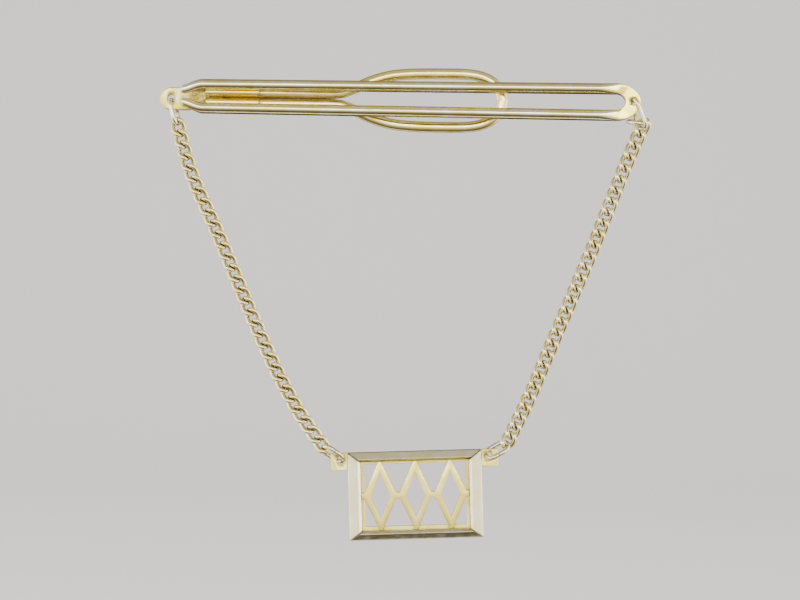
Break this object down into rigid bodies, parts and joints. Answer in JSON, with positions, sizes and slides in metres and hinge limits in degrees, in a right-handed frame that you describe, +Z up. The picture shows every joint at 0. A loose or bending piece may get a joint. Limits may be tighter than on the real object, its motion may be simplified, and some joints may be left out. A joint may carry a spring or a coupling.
{
  "type": "tie bar with chain and pendant",
  "caption": "Two-rail tie bar with a spring wire clip behind it, a curb chain hanging from each end, and a small framed openwork pendant between the chains.",
  "frame": {"origin": "the middle of the gap between the bar's flat back and the clip's loop, at mid-length of the bar and mid-height of its two rails, where the tie is held", "axes": "+X along the bar towards its drilled flat end, +Y from the front to the back, +Z up, with the chains and the pendant hanging down -Z"},
  "size_m": [0.0582, 0.0034, 0.0563],
  "materials": {
    "silvery_gold": "polished, pale gold that reads almost silver in highlights",
    "chain_gold": "polished, slightly worn",
    "gold": "polished",
    "pale_gold": "satin",
    "warm_gold": "polished"
  },
  "bodies": {
    "bar": {"front_bar": "silvery_gold", "eye_tab": "pale_gold"},
    "clip": {"crimp_sleeve": "warm_gold", "clip_wire": "gold"},
    "left_bar_link": {"ring_left_bar": "chain_gold"},
    "left_chain_01": {"chain_left_01": "chain_gold"},
    "left_chain_02": {"chain_left_02": "chain_gold"},
    "left_chain_03": {"chain_left_03": "chain_gold"},
    "left_chain_04": {"chain_left_04": "chain_gold"},
    "left_chain_05": {"chain_left_05": "chain_gold"},
    "left_chain_06": {"chain_left_06": "chain_gold"},
    "left_chain_07": {"chain_left_07": "chain_gold"},
    "left_chain_08": {"chain_left_08": "chain_gold"},
    "left_chain_09": {"chain_left_09": "chain_gold"},
    "left_chain_10": {"chain_left_10": "chain_gold"},
    "left_chain_11": {"chain_left_11": "chain_gold"},
    "left_chain_12": {"chain_left_12": "chain_gold"},
    "left_chain_13": {"chain_left_13": "chain_gold"},
    "left_chain_14": {"chain_left_14": "chain_gold"},
    "left_chain_15": {"chain_left_15": "chain_gold"},
    "left_pendant_ring": {"ring_left_pendant": "chain_gold"},
    "right_bar_link": {"link_right_bar": "chain_gold", "jump_ring_right": "chain_gold"},
    "right_chain_01": {"chain_right_01": "chain_gold"},
    "right_chain_02": {"chain_right_02": "chain_gold"},
    "right_chain_03": {"chain_right_03": "chain_gold"},
    "right_chain_04": {"chain_right_04": "chain_gold"},
    "right_chain_05": {"chain_right_05": "chain_gold"},
    "right_chain_06": {"chain_right_06": "chain_gold"},
    "right_chain_07": {"chain_right_07": "chain_gold"},
    "right_chain_08": {"chain_right_08": "chain_gold"},
    "right_chain_09": {"chain_right_09": "chain_gold"},
    "right_chain_10": {"chain_right_10": "chain_gold"},
    "right_chain_11": {"chain_right_11": "chain_gold"},
    "right_chain_12": {"chain_right_12": "chain_gold"},
    "right_chain_13": {"chain_right_13": "chain_gold"},
    "right_chain_14": {"chain_right_14": "chain_gold"},
    "right_chain_15": {"chain_right_15": "chain_gold"},
    "right_pendant_ring": {"ring_right_pendant": "chain_gold"},
    "pendant": {"bezel_top": "silvery_gold", "bezel_bottom": "silvery_gold", "bezel_left": "silvery_gold", "bezel_right": "silvery_gold", "lug_left": "pale_gold", "lug_right": "pale_gold", "back_frame": "pale_gold", "openwork_insert": "pale_gold"}
  },
  "joints": [
    {"name": "clip_flex", "type": "hinge", "parent": "bar", "child": "clip", "pos_m": [-0.0235, 0.00005, 0], "axis": [0, 0, 1], "range_deg": [0, 7], "stiffness_Nm_per_rad": 0.1, "springref_deg": -2.01},
    {"name": "left_bar_link_swing", "type": "hinge", "parent": "bar", "child": "left_bar_link", "pos_m": [-0.02713, -0.0009, -0.0006], "axis": [1, 0, 0], "range_deg": [-12, 12]},
    {"name": "left_chain_01_swing", "type": "hinge", "parent": "left_bar_link", "child": "left_chain_01", "pos_m": [-0.02645, -0.0009, -0.00305], "axis": [-1, 0, 0], "range_deg": [-15, 15]},
    {"name": "left_chain_02_swing", "type": "hinge", "parent": "left_chain_01", "child": "left_chain_02", "pos_m": [-0.0257, -0.0009, -0.0058], "axis": [1, 0, 0], "range_deg": [-15, 15]},
    {"name": "left_chain_03_swing", "type": "hinge", "parent": "left_chain_02", "child": "left_chain_03", "pos_m": [-0.02489, -0.0009, -0.00853], "axis": [-1, 0, 0], "range_deg": [-15, 15]},
    {"name": "left_chain_04_swing", "type": "hinge", "parent": "left_chain_03", "child": "left_chain_04", "pos_m": [-0.02381, -0.0009, -0.01117], "axis": [1, 0, 0], "range_deg": [-15, 15]},
    {"name": "left_chain_05_swing", "type": "hinge", "parent": "left_chain_04", "child": "left_chain_05", "pos_m": [-0.02255, -0.0009, -0.01372], "axis": [-1, 0, 0], "range_deg": [-15, 15]},
    {"name": "left_chain_06_swing", "type": "hinge", "parent": "left_chain_05", "child": "left_chain_06", "pos_m": [-0.02137, -0.0009, -0.01631], "axis": [1, 0, 0], "range_deg": [-15, 15]},
    {"name": "left_chain_07_swing", "type": "hinge", "parent": "left_chain_06", "child": "left_chain_07", "pos_m": [-0.02023, -0.0009, -0.01893], "axis": [-1, 0, 0], "range_deg": [-15, 15]},
    {"name": "left_chain_08_swing", "type": "hinge", "parent": "left_chain_07", "child": "left_chain_08", "pos_m": [-0.01909, -0.0009, -0.02154], "axis": [1, 0, 0], "range_deg": [-15, 15]},
    {"name": "left_chain_09_swing", "type": "hinge", "parent": "left_chain_08", "child": "left_chain_09", "pos_m": [-0.01798, -0.0009, -0.02416], "axis": [-1, 0, 0], "range_deg": [-15, 15]},
    {"name": "left_chain_10_swing", "type": "hinge", "parent": "left_chain_09", "child": "left_chain_10", "pos_m": [-0.01683, -0.0009, -0.02677], "axis": [1, 0, 0], "range_deg": [-15, 15]},
    {"name": "left_chain_11_swing", "type": "hinge", "parent": "left_chain_10", "child": "left_chain_11", "pos_m": [-0.01566, -0.0009, -0.02937], "axis": [-1, 0, 0], "range_deg": [-15, 15]},
    {"name": "left_chain_12_swing", "type": "hinge", "parent": "left_chain_11", "child": "left_chain_12", "pos_m": [-0.01443, -0.0009, -0.03194], "axis": [1, 0, 0], "range_deg": [-15, 15]},
    {"name": "left_chain_13_swing", "type": "hinge", "parent": "left_chain_12", "child": "left_chain_13", "pos_m": [-0.01311, -0.0009, -0.03447], "axis": [-1, 0, 0], "range_deg": [-15, 15]},
    {"name": "left_chain_14_swing", "type": "hinge", "parent": "left_chain_13", "child": "left_chain_14", "pos_m": [-0.01169, -0.0009, -0.03694], "axis": [1, 0, 0], "range_deg": [-15, 15]},
    {"name": "left_chain_15_swing", "type": "hinge", "parent": "left_chain_14", "child": "left_chain_15", "pos_m": [-0.01008, -0.0009, -0.03929], "axis": [-1, 0, 0], "range_deg": [-15, 15]},
    {"name": "left_pendant_ring_swing", "type": "hinge", "parent": "left_chain_15", "child": "left_pendant_ring", "pos_m": [-0.00835, -0.0009, -0.04155], "axis": [1, 0, 0], "range_deg": [-15, 15]},
    {"name": "right_bar_link_swing", "type": "hinge", "parent": "bar", "child": "right_bar_link", "pos_m": [0.02761, -0.0009, 0.00015], "axis": [1, 0, 0], "range_deg": [-12, 12]},
    {"name": "right_chain_01_swing", "type": "hinge", "parent": "right_bar_link", "child": "right_chain_01", "pos_m": [0.02902, -0.0009, -0.0023], "axis": [-1, 0, 0], "range_deg": [-15, 15]},
    {"name": "right_chain_02_swing", "type": "hinge", "parent": "right_chain_01", "child": "right_chain_02", "pos_m": [0.02781, -0.0009, -0.00505], "axis": [1, 0, 0], "range_deg": [-15, 15]},
    {"name": "right_chain_03_swing", "type": "hinge", "parent": "right_chain_02", "child": "right_chain_03", "pos_m": [0.02669, -0.0009, -0.00778], "axis": [-1, 0, 0], "range_deg": [-15, 15]},
    {"name": "right_chain_04_swing", "type": "hinge", "parent": "right_chain_03", "child": "right_chain_04", "pos_m": [0.02569, -0.0009, -0.01042], "axis": [1, 0, 0], "range_deg": [-15, 15]},
    {"name": "right_chain_05_swing", "type": "hinge", "parent": "right_chain_04", "child": "right_chain_05", "pos_m": [0.02472, -0.0009, -0.01298], "axis": [-1, 0, 0], "range_deg": [-15, 15]},
    {"name": "right_chain_06_swing", "type": "hinge", "parent": "right_chain_05", "child": "right_chain_06", "pos_m": [0.02374, -0.0009, -0.01557], "axis": [1, 0, 0], "range_deg": [-15, 15]},
    {"name": "right_chain_07_swing", "type": "hinge", "parent": "right_chain_06", "child": "right_chain_07", "pos_m": [0.02273, -0.0009, -0.01818], "axis": [-1, 0, 0], "range_deg": [-15, 15]},
    {"name": "right_chain_08_swing", "type": "hinge", "parent": "right_chain_07", "child": "right_chain_08", "pos_m": [0.02167, -0.0009, -0.02079], "axis": [1, 0, 0], "range_deg": [-15, 15]},
    {"name": "right_chain_09_swing", "type": "hinge", "parent": "right_chain_08", "child": "right_chain_09", "pos_m": [0.02059, -0.0009, -0.02341], "axis": [-1, 0, 0], "range_deg": [-15, 15]},
    {"name": "right_chain_10_swing", "type": "hinge", "parent": "right_chain_09", "child": "right_chain_10", "pos_m": [0.01952, -0.0009, -0.02602], "axis": [1, 0, 0], "range_deg": [-15, 15]},
    {"name": "right_chain_11_swing", "type": "hinge", "parent": "right_chain_10", "child": "right_chain_11", "pos_m": [0.01844, -0.0009, -0.02862], "axis": [-1, 0, 0], "range_deg": [-15, 15]},
    {"name": "right_chain_12_swing", "type": "hinge", "parent": "right_chain_11", "child": "right_chain_12", "pos_m": [0.01741, -0.0009, -0.03119], "axis": [1, 0, 0], "range_deg": [-15, 15]},
    {"name": "right_chain_13_swing", "type": "hinge", "parent": "right_chain_12", "child": "right_chain_13", "pos_m": [0.0164, -0.0009, -0.03372], "axis": [-1, 0, 0], "range_deg": [-15, 15]},
    {"name": "right_chain_14_swing", "type": "hinge", "parent": "right_chain_13", "child": "right_chain_14", "pos_m": [0.01531, -0.0009, -0.03619], "axis": [1, 0, 0], "range_deg": [-15, 15]},
    {"name": "right_chain_15_swing", "type": "hinge", "parent": "right_chain_14", "child": "right_chain_15", "pos_m": [0.01419, -0.0009, -0.03853], "axis": [-1, 0, 0], "range_deg": [-15, 15]},
    {"name": "right_pendant_ring_swing", "type": "hinge", "parent": "right_chain_15", "child": "right_pendant_ring", "pos_m": [0.0131, -0.0009, -0.0408], "axis": [1, 0, 0], "range_deg": [-15, 15]},
    {"name": "pendant_tilt", "type": "hinge", "parent": "left_pendant_ring", "child": "pendant", "pos_m": [-0.00643, -0.0009, -0.04278], "axis": [-0.9991, 0, -0.043], "range_deg": [-15, 15]}
  ],
  "couplings": [
    {"joint": "right_bar_link_swing", "follows": "left_bar_link_swing", "ratio": 1},
    {"joint": "right_chain_01_swing", "follows": "left_chain_01_swing", "ratio": 1},
    {"joint": "right_chain_02_swing", "follows": "left_chain_02_swing", "ratio": 1},
    {"joint": "right_chain_03_swing", "follows": "left_chain_03_swing", "ratio": 1},
    {"joint": "right_chain_04_swing", "follows": "left_chain_04_swing", "ratio": 1},
    {"joint": "right_chain_05_swing", "follows": "left_chain_05_swing", "ratio": 1},
    {"joint": "right_chain_06_swing", "follows": "left_chain_06_swing", "ratio": 1},
    {"joint": "right_chain_07_swing", "follows": "left_chain_07_swing", "ratio": 1},
    {"joint": "right_chain_08_swing", "follows": "left_chain_08_swing", "ratio": 1},
    {"joint": "right_chain_09_swing", "follows": "left_chain_09_swing", "ratio": 1},
    {"joint": "right_chain_10_swing", "follows": "left_chain_10_swing", "ratio": 1},
    {"joint": "right_chain_11_swing", "follows": "left_chain_11_swing", "ratio": 1},
    {"joint": "right_chain_12_swing", "follows": "left_chain_12_swing", "ratio": 1},
    {"joint": "right_chain_13_swing", "follows": "left_chain_13_swing", "ratio": 1},
    {"joint": "right_chain_14_swing", "follows": "left_chain_14_swing", "ratio": 1},
    {"joint": "right_chain_15_swing", "follows": "left_chain_15_swing", "ratio": 1},
    {"joint": "right_pendant_ring_swing", "follows": "left_pendant_ring_swing", "ratio": 1}
  ]
}
